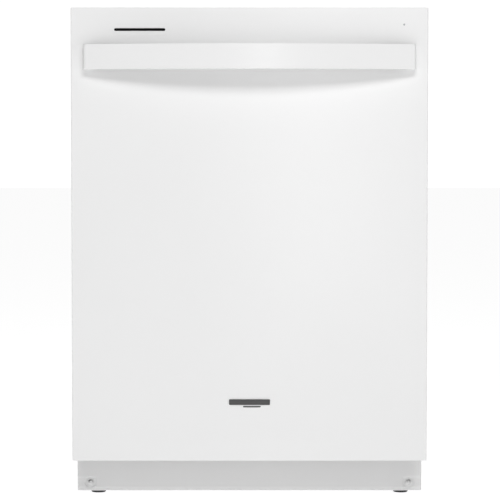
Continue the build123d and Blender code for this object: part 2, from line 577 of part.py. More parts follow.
def make_console():
    half = 300
    with BuildPart() as console:
        block((-half, half), CONSOLE_Y, CONSOLE_Z)
        block((-half + CONSOLE_WALL, half - CONSOLE_WALL), (CONSOLE_Y[0] + CONSOLE_WALL, CONSOLE_Y[1] - CONSOLE_WALL),
              (CONSOLE_Z[0] - 1, CONSOLE_Z[1] - CONSOLE_WALL), Mode.SUBTRACT)
        block((-SLOT_HALF, SLOT_HALF), (CONSOLE_Y[1] - 5, CONSOLE_Y[1] + 1), (817, 834), Mode.SUBTRACT)
        for x in KEY_XS:
            block((x - KEY_SIZE[0] / 2 - 0.4, x + KEY_SIZE[0] / 2 + 0.4),
                  (KEY_Y - KEY_SIZE[1] / 2 - 0.4, KEY_Y + KEY_SIZE[1] / 2 + 0.4),
                  (CONSOLE_Z[1] - 5, CONSOLE_Z[1] + 1), Mode.SUBTRACT)
    save(console, "console")

    for number, x in enumerate(KEY_XS, 1):
        with BuildPart() as key:
            block((x - KEY_SIZE[0] / 2, x + KEY_SIZE[0] / 2), (KEY_Y - KEY_SIZE[1] / 2, KEY_Y + KEY_SIZE[1] / 2),
                  (840, HEIGHT - 0.3))
            fillet(key.edges().group_by(Axis.Z)[-1], 1)
            block((x - KEY_SIZE[0] / 2 - 2, x + KEY_SIZE[0] / 2 + 2),
                  (KEY_Y - KEY_SIZE[1] / 2 - 2, KEY_Y + KEY_SIZE[1] / 2 + 2), (838.5, 841.5))
        save(key, f"key_{number}")

    with BuildPart() as board:
        for x in ((-240, -90), (145, 235)):
            block(x, (KEY_Y - 15, KEY_Y + 15), (830, 831.6))
        for x in KEY_XS:
            block((x - 4, x + 4), (KEY_Y - 4, KEY_Y + 4), (831.6, 836))
    save(board, "control_board")

    with BuildPart() as window:
        with BuildSketch(Plane.XZ.offset(-FACE_Y - DOOR_SHEET)):
            with Locations((WINDOW_X, WINDOW_Z)):
                SlotOverall(WINDOW_LENGTH, WINDOW_TALL)
        extrude(amount=DOOR_SHEET)
        rod((LAMP_X, FACE_Y, LAMP_Z), (LAMP_X, FACE_Y + DOOR_SHEET, LAMP_Z), LAMP_R)
    save(window, "status_window")


def make_latch():
    with BuildPart() as housing:
        block((-22, 22), (-281, -235.2), (815.5, 841.5))
        block((-SLOT_HALF, SLOT_HALF), (-276, -235), (817, 840), Mode.SUBTRACT)
    save(housing, "latch_housing")
    with BuildPart() as pawl:
        block((-14, 14), (PAWL_Y, -240), (832, 836))
        rod((-14, PAWL_Y, PAWL_Z), (14, PAWL_Y, PAWL_Z), 4)
        rod((-17.6, PAWL_Y, PAWL_Z), (17.6, PAWL_Y, PAWL_Z), 2)
        block((-14, 14), (-243, -240), (830.6, 834))
    save(pawl, "latch_pawl")
    with BuildPart() as strike:
        block((-28, 28), (TUB_FRONT_Y - 4, TUB_FRONT_Y - 2.1), (805, 831))
        block((-12, 12), (-260, TUB_FRONT_Y - 3), (821, 829))
        for x in (-STRIKE_HOLE_X, STRIKE_HOLE_X):
            rod((x, -230, STRIKE_HOLE_Z), (x, -210, STRIKE_HOLE_Z), 2.1, Mode.SUBTRACT)
        fillet(strike.edges().filter_by(Axis.X).group_by(Axis.Y)[0], 2)
    save(strike, "latch_strike")


# ---------------------------------------------------------------- dispenser
CUP_X, CUP_Z = (22, 84), (393, 457)
CAP_AT, CAP_R = (138, 425), 15


def make_dispenser():
    front = LINER_Y + 6
    with BuildPart() as body:
        block(DISPENSER_X, (LINER_RIM_Y + 4, LINER_Y), DISPENSER_Z)
        block((DISPENSER_X[0] - 6, DISPENSER_X[1] + 6), (LINER_Y, front), (DISPENSER_Z[0] - 6, DISPENSER_Z[1] + 6))
        fillet(body.edges().filter_by(Axis.Y).group_by(Axis.Y)[-1], 6)
        block(CUP_X, (LINER_RIM_Y + 8, front + 1), CUP_Z, Mode.SUBTRACT)
        rod((CAP_AT[0], LINER_RIM_Y + 12, CAP_AT[1]), (CAP_AT[0], front + 1, CAP_AT[1]), CAP_R, Mode.SUBTRACT)
    save(body, "dispenser_body")
    with BuildPart() as lid:
        block((CUP_X[0] - 5, CUP_X[1] + 5), (front + 0.3, front + 3), (CUP_Z[0] - 5, CUP_Z[1] + 5))
        fillet(lid.edges().filter_by(Axis.Y), 5)
    save(lid, "dispenser_lid")
    with BuildPart() as cap:
        rod((CAP_AT[0], LINER_Y - 10, CAP_AT[1]), (CAP_AT[0], front + 0.3, CAP_AT[1]), CAP_R - RUNNING)
        rod((CAP_AT[0], front + 0.3, CAP_AT[1]), (CAP_AT[0], front + 2.5, CAP_AT[1]), CAP_R + 3)
        block((CAP_AT[0] - 12, CAP_AT[0] + 12), (front + 2, front + 5), (CAP_AT[1] - 2.5, CAP_AT[1] + 2.5))
    save(cap, "rinse_aid_cap")


# ---------------------------------------------------------------- racks
def grille(first, second, plane_value, axis, counts):
    """A grid of crossing wires, the second layer lying on the first and welded to it."""
    (a0, a1), (b0, b1) = first, second
    step = LAYER_STEP if axis == "z" or plane_value < 0 else -LAYER_STEP
    welded = plane_value + step
    for a in spread(a0, a1, counts[0]):
        ends = {"z": ((a, b0, plane_value), (a, b1, plane_value)),
                "y": ((a, plane_value, b0), (a, plane_value, b1)),
                "x": ((plane_value, a, b0), (plane_value, a, b1))}[axis]
        rod(*ends, WIRE_R)
    for b in spread(b0, b1, counts[1]):
        ends = {"z": ((a0 - WIRE_R, b, welded), (a1 + WIRE_R, b, welded)),
                "y": ((a0 - WIRE_R, welded, b), (a1 + WIRE_R, welded, b)),
                "x": ((welded, a0 - WIRE_R, b), (welded, a1 + WIRE_R, b))}[axis]
        rod(*ends, WIRE_R)


def basket(half, y, z):
    """A wire basket: a floor grid and four side grids, each a flat piece of its own."""
    gap = 4 * WIRE_R + 0.4
    grille((-half + gap, half - gap), (y[0] + gap, y[1] - gap), z[0], "z", (11, 11))
    for face in y:
        grille((-half + gap, half - gap), (z[0], z[1]), face, "y", (11, 3))
    for side in SIDES.values():
        grille((y[0] + gap, y[1] - gap), (z[0], z[1]), side * half, "x", (11, 3))


TINE_YS, FOLD_Y, FOLD_Z = (-70, 135), 36, 192
SILVER_X, SILVER_Y, SILVER_Z = (-114, 114), (-202, -126), (184, 294)


def tine_row(y, z0, z1, xs):
    """A row of upright tines on one cross wire."""
    rod((min(xs) - 6, y, z0), (max(xs) + 6, y, z0), 2.4)
    for x in xs:
        rod((x, y, z0), (x, y, z1), 2)


def make_lower_rack():
    xs = spread(-200, 200, 17)
    with BuildPart() as rack:
        basket(LOWER_RACK_HALF, (LOWER_RACK_FRONT + 2.2, LOWER_RACK_BACK), (LOWER_RACK_Z + 2, LOWER_RACK_TOP))
        for y in TINE_YS:
            tine_row(y, 183.5, 274, xs)
        for side in SIDES.values():
            for y in WHEEL_YS:  # hanger plate and stub axle of each wheel
                block(both((LOWER_RACK_HALF + 3, LOWER_RACK_HALF + 6), side), (y - 9, y + 9), (WHEEL_Z - 8, 186))
                ends = both((LOWER_RACK_HALF + 5, 259), side)
                rod((ends[0], y, WHEEL_Z), (ends[1], y, WHEEL_Z), 4)
                head = both((258, 260), side)
                rod((head[0], y, WHEEL_Z), (head[1], y, WHEEL_Z), 6.5)
    save(rack, "lower_rack_basket")
    with BuildPart() as fold:
        tine_row(FOLD_Y, FOLD_Z, FOLD_Z + 84, xs)
    save(fold, "folding_tines")
    for end, y in zip(("front", "rear"), WHEEL_YS):
        with BuildPart() as wheels:
            for side in SIDES.values():
                ends = both((246, 257), side)
                rod((ends[0], y, WHEEL_Z), (ends[1], y, WHEEL_Z), WHEEL_R)
            fillet(wheels.edges().filter_by(GeomType.CIRCLE), 1.5)
            rod((-262, y, WHEEL_Z), (262, y, WHEEL_Z), 4 + RUNNING, Mode.SUBTRACT)
        save(wheels, f"{end}_rack_wheels")
    with BuildPart() as silver:
        block(SILVER_X, SILVER_Y, SILVER_Z)
        cells = 4
        pitch = (SILVER_X[1] - SILVER_X[0] - 2) / cells
        for i in range(cells):
            low = SILVER_X[0] + 2 + i * pitch
            block((low, low + pitch - 2), (SILVER_Y[0] + 2, SILVER_Y[1] - 2), (SILVER_Z[0] + 3, SILVER_Z[1] + 1),
                  Mode.SUBTRACT)
    save(silver, "silverware_basket")


def make_upper_rack():
    with BuildPart() as rack:
        basket(UPPER_RACK_HALF - 2, (UPPER_RACK_FRONT + 2.2, UPPER_RACK_BACK), (UPPER_RACK_Z + 2.4, UPPER_RACK_TOP))
        for side in SIDES.values():
            block(both((250.5, 258), side), (-200, 225), (RAIL_Z - 7, RAIL_Z + 7))
        block((-13, 13), (SUMP_Y - 15, 262), (458, 470))  # water manifold under the rack
        for y in (-4, 184):
            block((-6, 6), (y - 4, y + 4), (470, UPPER_RACK_Z - 0.2))
        rod((0, SUMP_Y, 438), (0, SUMP_Y, 458), UPPER_POST_R)
        rod((0, SUMP_Y, 434), (0, SUMP_Y, 438.5), 14)
    save(rack, "upper_rack_basket")
    with BuildPart() as rails:
        for side in SIDES.values():
            block(both((264, TUB_HALF - 0.2), side), (-208, 240), (RAIL_Z - 12.5, RAIL_Z + 12.5))
            block(both((260, 269.3), side), (-210, 242), (RAIL_Z - 11, RAIL_Z + 11), Mode.SUBTRACT)
    save(rails, "upper_rack_rails")
    with BuildPart() as slides:
        for side in SIDES.values():
            block(both((258.6, 269), side), (-206, 232), (RAIL_Z - 10.5, RAIL_Z + 10.5))
    save(slides, "upper_rack_slides")
    x = (-SHELF_HINGE_X, -150)
    with BuildPart() as shelf:
        for y in spread(-150, 150, 7):
            rod((x[0], y, SHELF_Z), (x[1], y, SHELF_Z), 2)
        for edge in (x[0], sum(x) / 2, x[1]):
            rod((edge, -160, SHELF_Z), (edge, 160, SHELF_Z), 2.2)
    save(shelf, "cup_shelf")


SHELF_HINGE_X, SHELF_Z = 234, 560


make_tub()
make_front_frame()
make_blanket()
make_base()
make_toe_panel()
make_top_brackets()
make_hinges()
make_springs()
make_sump()
make_spray_arms()
make_heater()
make_float()
make_pumps()
make_inlet()
make_door_shell()
make_handle()
make_console()
make_latch()
make_dispenser()
make_lower_rack()
make_upper_rack()
print(len(os.listdir("parts")), "sub-parts written")
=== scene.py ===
# %% [markdown]
# # A built-in dishwasher: from the frame to the finished looks
#
# The frame holds the plain bodies of the appliance, each in its place and on its own hinge or slide.
# Here each of them gets the shape that a press, a mould or a wire bender would give it.
# Sizes are written in millimetres, as on a shop drawing, and turned into metres at the last step.
# The front looks towards -Y, the floor is Z = 0 and the middle of the appliance is X = 0.

from math import cos, pi, radians, sin, sqrt

import bmesh
import bpy
from mathutils import Matrix, Vector


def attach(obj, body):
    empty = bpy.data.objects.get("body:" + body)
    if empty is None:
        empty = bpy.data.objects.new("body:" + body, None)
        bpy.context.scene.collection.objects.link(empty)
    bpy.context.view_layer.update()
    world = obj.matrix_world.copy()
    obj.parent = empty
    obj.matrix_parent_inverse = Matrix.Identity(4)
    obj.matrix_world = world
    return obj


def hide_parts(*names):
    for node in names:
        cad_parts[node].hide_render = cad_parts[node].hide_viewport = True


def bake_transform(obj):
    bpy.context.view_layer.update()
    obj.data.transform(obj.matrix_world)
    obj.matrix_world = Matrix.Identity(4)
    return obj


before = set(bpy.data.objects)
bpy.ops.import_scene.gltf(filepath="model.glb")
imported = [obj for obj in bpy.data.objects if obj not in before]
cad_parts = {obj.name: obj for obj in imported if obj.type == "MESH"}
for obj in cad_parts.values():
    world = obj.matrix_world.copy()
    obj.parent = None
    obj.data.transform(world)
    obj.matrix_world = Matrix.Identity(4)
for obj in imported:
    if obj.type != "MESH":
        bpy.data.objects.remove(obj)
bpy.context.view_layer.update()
MM = 0.001

# %% [markdown]
# ## The camera
#
# A long lens from three and a half metres keeps the sides of the door almost parallel.
# It stands a little above the middle of the door and looks slightly down.

# %% Camera
eye = bpy.data.objects.new("camera", bpy.data.cameras.new("camera"))
bpy.context.scene.collection.objects.link(eye)
eye.location = (0.00085, -3.787, 0.602)
eye.rotation_euler = (radians(90 - 2.75), 0, 0)
eye.data.lens, eye.data.sensor_width = 148.2, 36
eye.data.clip_end = 100
bpy.context.scene.camera = eye
bpy.context.scene.view_settings.view_transform = "Standard"
print("camera", tuple(round(v, 3) for v in eye.location))

# %% [markdown]
# ## The studio
#
# White sweeps all round, one wide soft lamp above the front and a narrow upright one behind the camera.
# The upper lamp throws the shadow under the handle, the narrow one gives the handle its long highlight,
# and a slim lamp on each side draws a bright line along the rounded edges.


# %% Light and floor
def lamp(name, place, aim, size, watts):
    light = bpy.data.lights.new(name, "AREA")
    light.shape, light.size, light.size_y, light.energy = "RECTANGLE", *size, watts
    obj = bpy.data.objects.new(name, light)
    bpy.context.scene.collection.objects.link(obj)
    obj.location = place
    obj.rotation_euler = (Vector(aim) - Vector(place)).to_track_quat("-Z", "Y").to_euler()
    return obj


world = bpy.data.worlds.new("studio")
bpy.context.scene.world = world
world.use_nodes = True
tree = world.node_tree
seen, lit = tree.nodes["Background"], tree.nodes.new("ShaderNodeBackground")
ray, either = tree.nodes.new("ShaderNodeLightPath"), tree.nodes.new("ShaderNodeMixShader")
seen.inputs["Color"].default_value = lit.inputs["Color"].default_value = (1, 1, 1, 1)
seen.inputs["Strength"].default_value, lit.inputs["Strength"].default_value = 1.05, 0.05
tree.links.new(ray.outputs["Is Camera Ray"], either.inputs[0])
tree.links.new(lit.outputs[0], either.inputs[1])
tree.links.new(seen.outputs[0], either.inputs[2])
tree.links.new(either.outputs[0], tree.nodes["World Output"].inputs["Surface"])
lamp("upper", (0.3, -3.6, 3.15), (0, -0.3, 0.45), (3.0, 1.1), 88)
lamp("front", (0.25, -4.4, 0.85), (0, -0.3, 0.5), (0.30, 2.0), 8.5)
for side in (-1, 1):
    lamp(f"edge_{side}", (side * 2.3, -1.5, 0.7), (side * 0.29, -0.3, 0.6), (0.35, 1.5), 4.5)
print("four lamps and a white surround")

# %% [markdown]
# ## Finishes
#
# A finish is a colour that wanders a little, a roughness that follows it and a fine relief.
# Enamel has orange peel, brushed sheet has long fine scratches, zinc has its crystal flowers,
# felt has fibres and moulded plastic a faint spark-eroded grain.


# %% Finishes
def finish(name, light, dark, rough, sway=0.05, metal=0.0, grain=30.0, stretch=(1, 1, 1), relief=0.1,
           fine=600.0, depth=0.0002, cells=False, coat=0.0):
    material = bpy.data.materials.new(name)
    material.use_nodes = True
    nodes, links = material.node_tree.nodes, material.node_tree.links
    shader = nodes["Principled BSDF"]
    place, scaled = nodes.new("ShaderNodeTexCoord"), nodes.new("ShaderNodeMapping")
    scaled.inputs["Scale"].default_value = stretch
    links.new(place.outputs["Object"], scaled.inputs["Vector"])
    pattern = nodes.new("ShaderNodeTexVoronoi" if cells else "ShaderNodeTexNoise")
    pattern.inputs["Scale"].default_value = grain
    links.new(scaled.outputs["Vector"], pattern.inputs["Vector"])
    wander = pattern.outputs["Color" if cells else 0]
    blend = nodes.new("ShaderNodeMix")
    blend.data_type = "RGBA"
    blend.inputs[6].default_value, blend.inputs[7].default_value = (*dark, 1), (*light, 1)
    links.new(wander, blend.inputs[0])
    links.new(blend.outputs[2], shader.inputs["Base Color"])
    gloss = nodes.new("ShaderNodeMapRange")
    gloss.inputs["To Min"].default_value = rough - sway
    gloss.inputs["To Max"].default_value = rough + sway
    links.new(wander, gloss.inputs["Value"])
    links.new(gloss.outputs["Result"], shader.inputs["Roughness"])
    skin, bump = nodes.new("ShaderNodeTexNoise"), nodes.new("ShaderNodeBump")
    skin.inputs["Scale"].default_value = fine
    bump.inputs["Strength"].default_value, bump.inputs["Distance"].default_value = relief, depth
    links.new(scaled.outputs["Vector"], skin.inputs["Vector"])
    links.new(skin.outputs[0], bump.inputs["Height"])
    links.new(bump.outputs["Normal"], shader.inputs["Normal"])
    shader.inputs["Metallic"].default_value = metal
    shader.inputs["Coat Weight"].default_value = coat
    shader.inputs["Base Color"].default_value = (*[(a + b) / 2 for a, b in zip(light, dark)], 1)
    return material


def grey(level, warm=0.0):
    return (level * (1 + warm), level, level * (1 - warm))


FINISH = {
    "white_paint": finish("white_paint", grey(0.90), grey(0.88), 0.22, 0.015, grain=6, relief=0.05, fine=420,
                          depth=0.0003),
    "stainless_tub": finish("stainless_tub", grey(0.66, 0.01), grey(0.54, 0.01), 0.30, 0.06, 1.0, grain=14,
                            stretch=(1, 1, 60), relief=0.12, fine=60, depth=0.0001),
    "galvanised_steel": finish("galvanised_steel", grey(0.60, -0.03), grey(0.42, -0.03), 0.42, 0.08, 1.0,
                               grain=90, cells=True, relief=0.08, fine=700),
    "screw_steel": finish("screw_steel", grey(0.74), grey(0.64), 0.34, 0.06, 1.0, grain=160, relief=0.06,
                          fine=900, depth=0.0001),
    "black_rubber": finish("black_rubber", grey(0.030), grey(0.018), 0.72, 0.06, grain=220, relief=0.3,
                           fine=1400),
    "felt_blanket": finish("felt_blanket", grey(0.34, 0.05), grey(0.12, 0.05), 0.94, 0.04, grain=420,
                           relief=0.9, fine=900, depth=0.0008),
    "grey_plastic": finish("grey_plastic", grey(0.50, -0.03), grey(0.44, -0.03), 0.44, 0.05, grain=70,
                           relief=0.15, fine=1500),
    "black_plastic": finish("black_plastic", grey(0.035), grey(0.022), 0.48, 0.06, grain=80, relief=0.2,
                            fine=1500),
    "window_black": finish("window_black", grey(0.010), grey(0.006), 0.12, 0.03, grain=40, relief=0.01),
    "key_grey": finish("key_grey", grey(0.11), grey(0.08), 0.32, 0.04, grain=90, relief=0.1, fine=1500),
    "badge_grey": finish("badge_grey", grey(0.085), grey(0.065), 0.36, 0.05, 0.2, grain=50, relief=0.05),
    "coated_wire": finish("coated_wire", grey(0.46, -0.04), grey(0.38, -0.04), 0.36, 0.05, grain=90,
                          relief=0.25, fine=500, coat=0.3),
}
FINISH["window_black"].node_tree.nodes["Principled BSDF"].inputs["Specular IOR Level"].default_value = 0.2
accent = finish("pale_gold", (0.62, 0.56, 0.44), (0.52, 0.46, 0.36), 0.35, 0.04, 0.3, grain=120, relief=0.04)
print(len(FINISH), "finishes")

# %% [markdown]
# ## Workshop tools
#
# A few hand tools do all the shaping: a block with eased edges, a slab cut from an outline, a turned body,
# a bent wire, a moulding run along a path, a pressed pan, and a cutter.
# Every shape is drawn where it stands, so it never has to be moved.


# %% Tools for solid shapes
def put(axis, a, b, c):
    """A point from its place in the plane across an axis and its place along it."""
    return Vector({"x": (c, a, b), "y": (a, c, b), "z": (a, b, c)}[axis])


def block(bm, x, y, z, r=1.0, steps=2):
    corners = bmesh.ops.create_cube(bm, size=1.0)["verts"]
    for v in corners:
        v.co = Vector(pair[0] if value < 0 else pair[1] for pair, value in zip((x, y, z), v.co))
    if r:
        edges = list({edge for v in corners for edge in v.link_edges})
        bmesh.ops.bevel(bm, geom=edges, offset=r, segments=steps, profile=0.5, affect="EDGES")


def slab(bm, outline, axis, low, high, r=0.6, steps=2):
    """A plate cut from an outline, its rims rounded."""
    ends = [[bm.verts.new(put(axis, a, b, level)) for a, b in outline] for level in (low, high)]
    caps = [bm.faces.new(ends[0]), bm.faces.new(ends[1][::-1])]
    for i, start in enumerate(ends[0]):
        bm.faces.new((start, ends[1][i], ends[1][i - 1], ends[0][i - 1]))
    if r:
        rims = list({edge for cap in caps for edge in cap.edges})
        bmesh.ops.bevel(bm, geom=rims, offset=r, segments=steps, profile=0.5, affect="EDGES")


def turned(bm, profile, centre, axis="z", steps=48, closed=False):
    """A body of revolution from (radius, height) pairs; a closed profile leaves a bore."""
    along = "xyz".index(axis)
    a0, b0 = [value for i, value in enumerate(centre) if i != along]
    rings = []
    for radius, height in profile:
        angles = [2 * pi * i / steps for i in range(steps)] if radius > 1e-6 else [0]
        level = centre[along] + height
        rings.append([bm.verts.new(put(axis, a0 + radius * cos(t), b0 + radius * sin(t), level))
                      for t in angles])
    for low, high in list(zip(rings, rings[1:])) + ([(rings[-1], rings[0])] if closed else []):
        for i in range(steps):
            j = (i + 1) % steps
            ring = [low[i % len(low)], low[j % len(low)], high[j % len(high)], high[i % len(high)]]
            ring = list(dict.fromkeys(ring))
            if len(ring) > 2:
                bm.faces.new(ring)


def bent(points, radius, closed=False, steps=6):
    """A path with its corners rounded."""
    points = [Vector(p) for p in points]
    path = []
    for i, corner in enumerate(points):
        if not closed and i in (0, len(points) - 1):
            path.append(corner)
            continue
        back, on = points[i - 1] - corner, points[(i + 1) % len(points)] - corner
        reach = min(radius, back.length * 0.49, on.length * 0.49)
        start, end = corner + back.normalized() * reach, corner + on.normalized() * reach
        for k in range(steps + 1):
            t = k / steps
            path.append(start * (1 - t) ** 2 + corner * (2 * t * (1 - t)) + end * t ** 2)
    return path


def wire(bm, path, radius, closed=False, sides=10):
    """A round wire along a path; open ends are domed."""
    path = [Vector(p) for p in path]
    scale = [radius] * len(path)
    if not closed:
        head, tail = (path[1] - path[0]).normalized(), (path[-2] - path[-1]).normalized()
        path = [path[0], path[0] + head * radius * 0.3, path[0] + head * radius] + path[1:-1] + \
               [path[-1] + tail * radius, path[-1] + tail * radius * 0.3, path[-1]]
        scale = [radius * 0.3, radius * 0.75] + [radius] * (len(path) - 4) + [radius * 0.75, radius * 0.3]
    count = len(path)
    side = None
    rings = []
    for i, p in enumerate(path):
        ahead = path[(i + 1) % count] if closed or i < count - 1 else p
        behind = path[i - 1] if closed or i > 0 else p
        run = (ahead - behind).normalized()
        if side is None:
            side = run.orthogonal().normalized()
        side = (side - run * side.dot(run)).normalized()
        other = run.cross(side)
        turns = [2 * pi * k / sides for k in range(sides)]
        rings.append([bm.verts.new(p + (side * cos(t) + other * sin(t)) * scale[i]) for t in turns])
    for low, high in list(zip(rings, rings[1:])) + ([(rings[-1], rings[0])] if closed else []):
        for k in range(sides):
            bm.faces.new((low[k], low[k - 1], high[k - 1], high[k]))
    if not closed:
        bm.faces.new(rings[0])
        bm.faces.new(rings[-1][::-1])


print("solid tools ready")


# %% Tools for sheet
def frame_points(half, z, r, steps=8, r_low=None):
    """A rounded rectangle seen from the front, as (x, z) pairs."""
    r_low = r if r_low is None else r_low
    corners = [(half - r, z[1] - r, 0, r), (-half + r, z[1] - r, 90, r),
               (-half + r_low, z[0] + r_low, 180, r_low), (half - r_low, z[0] + r_low, 270, r_low)]
    points = []
    for x, zc, turn, radius in corners:
        angles = [radians(turn + 90 * k / steps) for k in range(steps + 1)]
        points += [(x + radius * cos(t), zc + radius * sin(t)) for t in angles]
    return points


def pan(bm, half, z, r, profile, thick, r_low=None, steps=8):
    """A pressed sheet: rounded rectangles stepping inwards by (inset, y), closed in the middle."""
    sides = []
    for shift in (0, thick):
        rings = []
        for inset, y in profile:
            inset = inset + (shift if inset < 1 else 0)
            low = max((r if r_low is None else r_low) - inset, 1.5)
            outline = frame_points(half - inset, (z[0] + inset, z[1] - inset), max(r - inset, 3), steps, low)
            rings.append([bm.verts.new((x, y - (shift if inset >= 1 else 0), zz)) for x, zz in outline])
        for outer, inner in zip(rings, rings[1:]):
            for i in range(len(outer)):
                bm.faces.new((outer[i - 1], outer[i], inner[i], inner[i - 1]))
        bm.faces.new(rings[-1])
        sides.append(rings[0])
    for i in range(len(sides[0])):
        bm.faces.new((sides[0][i], sides[0][i - 1], sides[1][i - 1], sides[1][i]))


def moulding(bm, path, section, closed=False):
    """A section of (outward, y) pairs run along a path in the front plane."""
    path = [Vector(p) for p in path]
    count = len(path)
    rings = []
    for i, p in enumerate(path):
        ahead = path[(i + 1) % count] if closed or i < count - 1 else p
        behind = path[i - 1] if closed or i > 0 else p
        run = (ahead - behind).normalized()
        out = Vector((-run.z, 0, run.x))
        rings.append([bm.verts.new((p.x + out.x * u, v, p.z + out.z * u)) for u, v in section])
    for low, high in list(zip(rings, rings[1:])) + ([(rings[-1], rings[0])] if closed else []):
        for k in range(len(section)):
            bm.faces.new((low[k], low[k - 1], high[k - 1], high[k]))
    if not closed:
        bm.faces.new(rings[0])
        bm.faces.new(rings[-1][::-1])


def sheet(bm, us, vs, shape, thick):
    """A grid bent to any shape and given a thickness behind it."""
    front = [[bm.verts.new(shape(u, v)) for v in vs] for u in us]

    def quads(grid):
        return [bm.faces.new((grid[i][j], grid[i + 1][j], grid[i + 1][j + 1], grid[i][j + 1]))
                for i in range(len(us) - 1) for j in range(len(vs) - 1)]

    for face in quads(front):
        face.normal_update()
    for row in front:
        for v in row:
            v.normal_update()
    back = [[bm.verts.new(v.co - v.normal * thick) for v in row] for row in front]
    quads([row[::-1] for row in back])

    def rim(grid):
        return [grid[0], [row[-1] for row in grid], grid[-1][::-1], [row[0] for row in grid][::-1]]

    for near, far in zip(rim(front), rim(back)):
        for i in range(len(near) - 1):
            bm.faces.new((near[i], near[i + 1], far[i + 1], far[i]))


def ease(t):
    t = min(max(t, 0.0), 1.0)
    return t * t * (3 - 2 * t)


def spread(first, last, count):
    return [first + (last - first) * i / (count - 1) for i in range(count)]


print("sheet tools ready")


# %% Tools for finishing a piece
def as_object(name, bm, scale=MM):
    bmesh.ops.recalc_face_normals(bm, faces=bm.faces)
    mesh = bpy.data.meshes.new(name)
    bm.to_mesh(mesh)
    bm.free()
    mesh.transform(Matrix.Scale(scale, 4))
    obj = bpy.data.objects.new(name, mesh)
    bpy.context.scene.collection.objects.link(obj)
    return obj


def cut(bm, tool):
    """Take one closed shape away from another."""
    body, cutter = as_object("body", bm, 1), as_object("cutter", tool, 1)
    step = body.modifiers.new("cut", "BOOLEAN")
    step.object, step.operation, step.solver = cutter, "DIFFERENCE", "EXACT"
    result = bmesh.new()
    result.from_object(body, bpy.context.evaluated_depsgraph_get())
    for obj in (body, cutter):
        mesh = obj.data
        bpy.data.objects.remove(obj)
        bpy.data.meshes.remove(mesh)
    return result


def dress(obj, slot, body, stands_for=(), smooth=40, ease_by=0.0, second=None):
    """Finish, smooth shading and a body to ride on."""
    obj.data.materials.clear()
    obj.data.materials.append(FINISH[slot])
    if second:
        obj.data.materials.append(second)
    obj.data.shade_smooth()
    if ease_by:
        round_off = obj.modifiers.new("round_off", "BEVEL")
        round_off.width, round_off.segments, round_off.limit_method = ease_by * MM, 2, "ANGLE"
        round_off.angle_limit, round_off.harden_normals = radians(50), False
    else:
        obj.data.set_sharp_from_angle(angle=radians(smooth))
    weigh = obj.modifiers.new("weigh", "WEIGHTED_NORMAL")
    weigh.keep_sharp = True
    if body:
        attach(obj, body)
    if stands_for:
        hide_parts(*stands_for)
    return obj


def piece(name, bm, slot, body="root", stands_for=(), **how):
    return dress(as_object(name, bm), slot, body, stands_for, **how)


def eased(node, slot, body="root", r=0.6):
    """The plain body itself with its edges rounded."""
    bm = bmesh.new()
    bm.from_mesh(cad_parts[node].data)
    bmesh.ops.remove_doubles(bm, verts=bm.verts, dist=2e-6)
    bmesh.ops.dissolve_limit(bm, angle_limit=radians(0.6), verts=bm.verts, edges=bm.edges)
    return dress(as_object(f"{node}_eased", bm, 1), slot, body, (node,), ease_by=r)


print("finishing tools ready")

# %% [markdown]
# ## The door skin
#
# On the real door this is one sheet of steel, folded back along both sides and the bottom and then enamelled.
# The side folds leave a small radius, which catches the light along the edges; the bottom fold is crisp.
# The plan of the sheet is raised to a solid and hollowed out. The bottom fold is cut back so that it clears
# the hinges when the door is down, and the openings for the window and the lamp are cut through.

# %% Door skin
FACE, RETURN_Y, HALF, DOOR_LOW, DOOR_TOP = -287, -250, 303, 73, 845
WINDOW_X, WINDOW_Z, WINDOW_LONG, WINDOW_TALL = -186, 807.7, 86.4, 4.4
LAMP_AT, LAMP_R = (262, 816.2), 1.4
SKIN_SHEET, FOLD_SHEET, ABOVE_DOOR = 1.2, 1.5, 870
SLOT_GAP = 0.2


def pill(x, z, long, tall, steps=12):
    """An upright-ended slot, as (x, z) pairs."""
    r = tall / 2
    ends = [(x + long / 2 - r, -90), (x - long / 2 + r, 90)]
    return [(cx + r * cos(radians(turn + 180 * k / steps)), z + r * sin(radians(turn + 180 * k / steps)))
            for cx, turn in ends for k in range(steps + 1)]


def folded(inset, r):
    """The sheet seen from above: the face and its two sides turned back."""
    half, face = HALF - inset, FACE + inset
    corners = [(half, RETURN_Y, 0), (half, face, 0), (-half, face, 0), (-half, RETURN_Y, 0)]
    return [(p.x, p.y) for p in bent(corners, r, steps=6)]


skin = bmesh.new()
slab(skin, folded(0, 2.4), "z", DOOR_LOW, DOOR_TOP, r=0)
hollow = bmesh.new()
inside = [(x, y if y < RETURN_Y else RETURN_Y + 5) for x, y in folded(SKIN_SHEET, 1.4)]
slab(hollow, inside, "z", DOOR_LOW + FOLD_SHEET, ABOVE_DOOR, r=0)
skin = cut(skin, hollow)
clear = bmesh.new()
inner_half = HALF - FOLD_SHEET
block(clear, (-inner_half, inner_half), (RETURN_Y - 16, RETURN_Y + 1), (DOOR_LOW - 2, DOOR_LOW + 3), r=0)
skin = cut(skin, clear)
slots = bmesh.new()
opening = pill(WINDOW_X, WINDOW_Z, WINDOW_LONG + 2 * SLOT_GAP, WINDOW_TALL + 2 * SLOT_GAP)
slab(slots, opening, "y", -300, -284, r=0)
bored = LAMP_R + SLOT_GAP
turned(slots, [(0, -10), (bored, -10), (bored, 5), (0, 5)], (LAMP_AT[0], FACE, LAMP_AT[1]), "y", 24)
skin = cut(skin, slots)
piece("door_skin", skin, "white_paint", "door", ("door_outer_panel",), ease_by=0.3)
print("door skin", 2 * HALF, "by", DOOR_TOP - DOOR_LOW)

# %% [markdown]
# ## The handle
#
# The grip is one long bar, bowed away from the door, with its ends turned back to the face.
# Seen from above it is a thin bow; it is drawn so and raised to its height, with rounded edges all round.

# %% Handle
HANDLE_HALF, HANDLE_LOW, HANDLE_TOP, FOOT_IN = 281.5, 740, 782, 264


